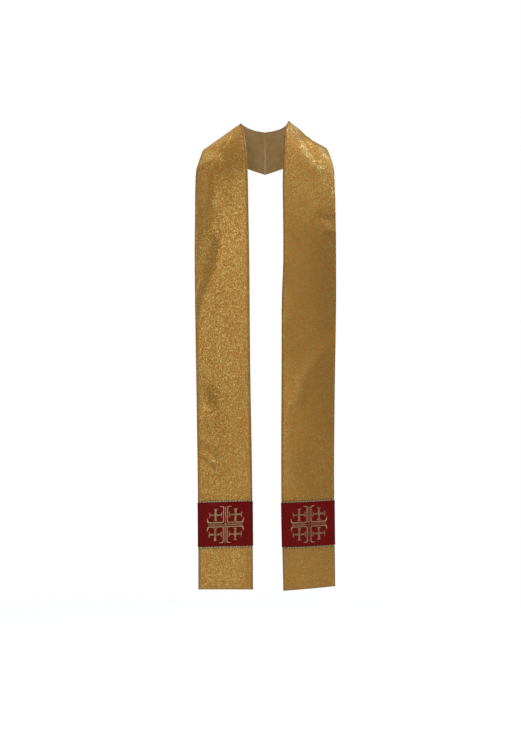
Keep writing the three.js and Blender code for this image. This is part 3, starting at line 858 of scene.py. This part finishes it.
# ---------------------------------------------------------------- the topstitching
# A row of machine stitches runs all round each band, just inside the rolled edges, through both
# cloths. Over the panel the thread is wine red.
STITCH_LENGTH = 3.0
STITCH_STEP = 4.1
TOP_THREAD_RADIUS = 0.28
THREAD_ARCH = 0.2
THREAD_OVER = 0.12  # of the gold thread over the gold cloth
RED_THREAD_OVER = 0.05  # of the red thread over the panel
SEW_IN = 3.0  # the rows stop this far before the centre-back seam
SEW_FROM_CORD = 3.0  # and keep this far from a cord
RED_SEW_IN = 1.0  # the red rows stop this far inside the panel's ends


def stitch_row(skin, from_up, to_up, across_of, behind):
    """Stitches in a row up a band, at the distance from its inner edge that across_of gives for
    each width: both ends of each and the outward directions."""
    start = np.arange(from_up, to_up - STITCH_LENGTH, STITCH_STEP)
    up = np.stack([start, start + STITCH_LENGTH], 1)
    width = np.interp(up, skin["up"], skin["width"])
    return on_band(skin, up, across_of(width), behind)


def on_band(skin, up, across, behind):
    """Points on a band's front, or on its lining if behind, and the outward directions there."""
    row = np.interp(up, skin["up"], np.arange(len(skin["up"])))
    width = np.interp(up, skin["up"], skin["width"])
    column = np.interp(across / width, spaced(WIDTH, COLUMN_STEP) / WIDTH, np.arange(skin["columns"] + 1))
    if behind:
        column = 2 * skin["columns"] - column
    return grid_at(skin["points"], row, column), grid_at(skin["normals"], row, column)


def sewn(name, rows, lift, material):
    """One piece of all the stitches in the rows, lifted off the cloth."""
    place = np.concatenate([r[0] for r in rows])
    away = np.concatenate([r[1] for r in rows]).mean(1)
    away = away / np.linalg.norm(away, axis=1, keepdims=True)
    place = place + away[:, None] * lift * MM
    points, faces = stitch_mesh(place[:, 0], place[:, 1], away, TOP_THREAD_RADIUS * MM, THREAD_ARCH * MM)
    piece = mesh_piece(name, points, faces, [material])
    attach(piece, "root")
    return piece


gold_top_thread = thread("gold sewing thread", (0.50, 0.33, 0.11), (0.34, 0.21, 0.06), 0.5, 1600)
red_top_thread, shader, node, link = new_material("wine-red sewing thread")
shader.inputs["Base Color"].default_value = (0.16, 0.008, 0.008, 1)
shader.inputs["Roughness"].default_value = 0.6
for side in ("right", "left"):
    skin = skins[side]
    near, far = (lambda w: 0 * w + STITCH_IN), (lambda w: w - STITCH_IN)
    panel_from, panel_to = LOWER_CORD_UP - SEW_FROM_CORD, UPPER_CORD_UP + SEW_FROM_CORD
    top_up = skin["length"] - SEW_IN
    rows = []
    for across_of in (near, far):
        rows.append(stitch_row(skin, STITCH_IN, panel_from, across_of, False))
        rows.append(stitch_row(skin, panel_to, top_up, across_of, False))
        rows.append(stitch_row(skin, STITCH_IN, top_up, across_of, True))
    start = np.arange(STITCH_IN + 1, skin["width"][0] - STITCH_IN - STITCH_LENGTH, STITCH_STEP)
    across = np.stack([start, start + STITCH_LENGTH], 1)
    for behind in (False, True):
        rows.append(on_band(skin, 0 * across + STITCH_IN, across, behind))
    gold_rows = sewn(side + "_topstitching", rows, THREAD_OVER, gold_top_thread)
    red_from, red_to = PANEL_LOW + RED_SEW_IN, PANEL_HIGH - RED_SEW_IN
    rows = [stitch_row(skin, red_from, red_to, across_of, False) for across_of in (near, far)]
    lift = PANEL_CLEAR + PANEL_WALL + RED_THREAD_OVER
    red_rows = sewn(side + "_panel_stitching", rows, lift, red_top_thread)

# ---------------------------------------------------------------- camera, floor and lights
# The camera looks level at the middle of the stole. The floor is plain, and glows as the camera
# sees it so that it stays white, but throws none of that glow on the cloth. Large soft boxes stand
# all round, most of their light high on the wearer's left; their names go by the camera's sides.
camera_data = bpy.data.cameras.new("camera")
camera_data.lens = 80.64
camera_data.sensor_width = 36
camera = bpy.data.objects.new("camera", camera_data)
camera.location = (-0.012, -4.315, -0.6327)
camera.rotation_euler = (np.pi / 2, 0, 0)
bpy.context.scene.collection.objects.link(camera)
bpy.context.scene.camera = camera

FLOOR_Z = -1.6
FLOOR_REACH = 3.6
FLOOR_FADES_FROM = 1.6  # from the floor's middle, where it starts to turn clear
FLOOR_GLOW = 0.5
floor_material, shader, node, link = new_material("pale studio floor")
shader.inputs["Base Color"].default_value = (0.92, 0.92, 0.92, 1)
shader.inputs["Roughness"].default_value = 0.9
shader.inputs["Emission Color"].default_value = (1, 1, 1, 1)
place = node("TexCoord").outputs["Object"]
seen_by_camera = node("LightPath").outputs["Is Camera Ray"]
glow = node("Math", {0: seen_by_camera, 1: FLOOR_GLOW}, operation="MULTIPLY")
link(glow.outputs[0], shader.inputs["Emission Strength"])
middle = node("VectorMath", {0: place, 1: (0, 0, FLOOR_Z)}, operation="DISTANCE")
fade_range = {"Value": middle.outputs["Value"], "From Min": FLOOR_FADES_FROM, "From Max": FLOOR_REACH - 0.1}
fade = node("MapRange", fade_range, interpolation_type="SMOOTHSTEP")
clear = node("BsdfTransparent")
mixed = {"Fac": fade.outputs["Result"], 1: shader.outputs["BSDF"], 2: clear.outputs["BSDF"]}
joined = node("MixShader", mixed).outputs["Shader"]
link(joined, floor_material.node_tree.nodes["Material Output"].inputs["Surface"])
corners = np.array([[-1, -1], [1, -1], [1, 1], [-1, 1]]) * FLOOR_REACH
floor = mesh_piece(
    "studio_floor",
    np.column_stack([corners, np.full(4, FLOOR_Z)]),
    np.array([[0, 1, 2, 3]]),
    [floor_material],
)

LIGHTS_OUT = 3.6  # from the middle of the stole to each light
AIM = np.array([0, 0, -0.5])


def soft_box(name, azimuth, elevation, size, watts, colour=(1, 1, 1)):
    """A square area light that faces the middle of the stole. Azimuth 0 is in front and 90 on the
    wearer's left; elevation is above the horizon, in degrees."""
    a, e = np.radians(azimuth), np.radians(elevation)
    data = bpy.data.lights.new(name, "AREA")
    data.shape = "SQUARE"
    data.size = size
    data.energy = watts
    data.color = colour
    lamp = bpy.data.objects.new(name, data)
    lamp.location = AIM + LIGHTS_OUT * np.array([np.sin(a) * np.cos(e), -np.cos(a) * np.cos(e), np.sin(e)])
    lamp.rotation_euler = (np.pi / 2 - e, 0, a)
    bpy.context.scene.collection.objects.link(lamp)


soft_box("key", -10, 20, 0.8, 17.2)
soft_box("low fill", 0, -5, 0.8, 9.1)
soft_box("left side light", -70, 25, 1.5, 11.5)
soft_box("high front light", 30, 40, 2.0, 9.4)
soft_box("overhead light", 60, 80, 2.0, 39.2)
soft_box("back light", -135, 55, 2.0, 17.0, (1.04, 1, 0.72))
soft_box("right rim light", 105, 30, 2.0, 79.0, (0.81, 1.03, 1.26))

world = bpy.data.worlds.new("studio")
world.use_nodes = True
bpy.context.scene.world = world
nodes, links = world.node_tree.nodes, world.node_tree.links
background = nodes["Background"]
background.inputs["Color"].default_value = (1, 1, 1, 1)
background.inputs["Strength"].default_value = 0.2
seen = nodes.new("ShaderNodeBackground")
seen.inputs["Color"].default_value = (1, 1, 1, 1)
seen.inputs["Strength"].default_value = 1.0
path = nodes.new("ShaderNodeLightPath")
mix = nodes.new("ShaderNodeMixShader")
links.new(path.outputs["Is Camera Ray"], mix.inputs["Fac"])
links.new(background.outputs["Background"], mix.inputs[1])
links.new(seen.outputs["Background"], mix.inputs[2])
links.new(mix.outputs["Shader"], nodes["World Output"].inputs["Surface"])
bpy.context.scene.view_settings.view_transform = "Standard"

# ---------------------------------------------------------------- each band's skin once more
# The loop takes up each band's skin again and does nothing more with it.
for side in ("right", "left"):
    skin = skins[side]
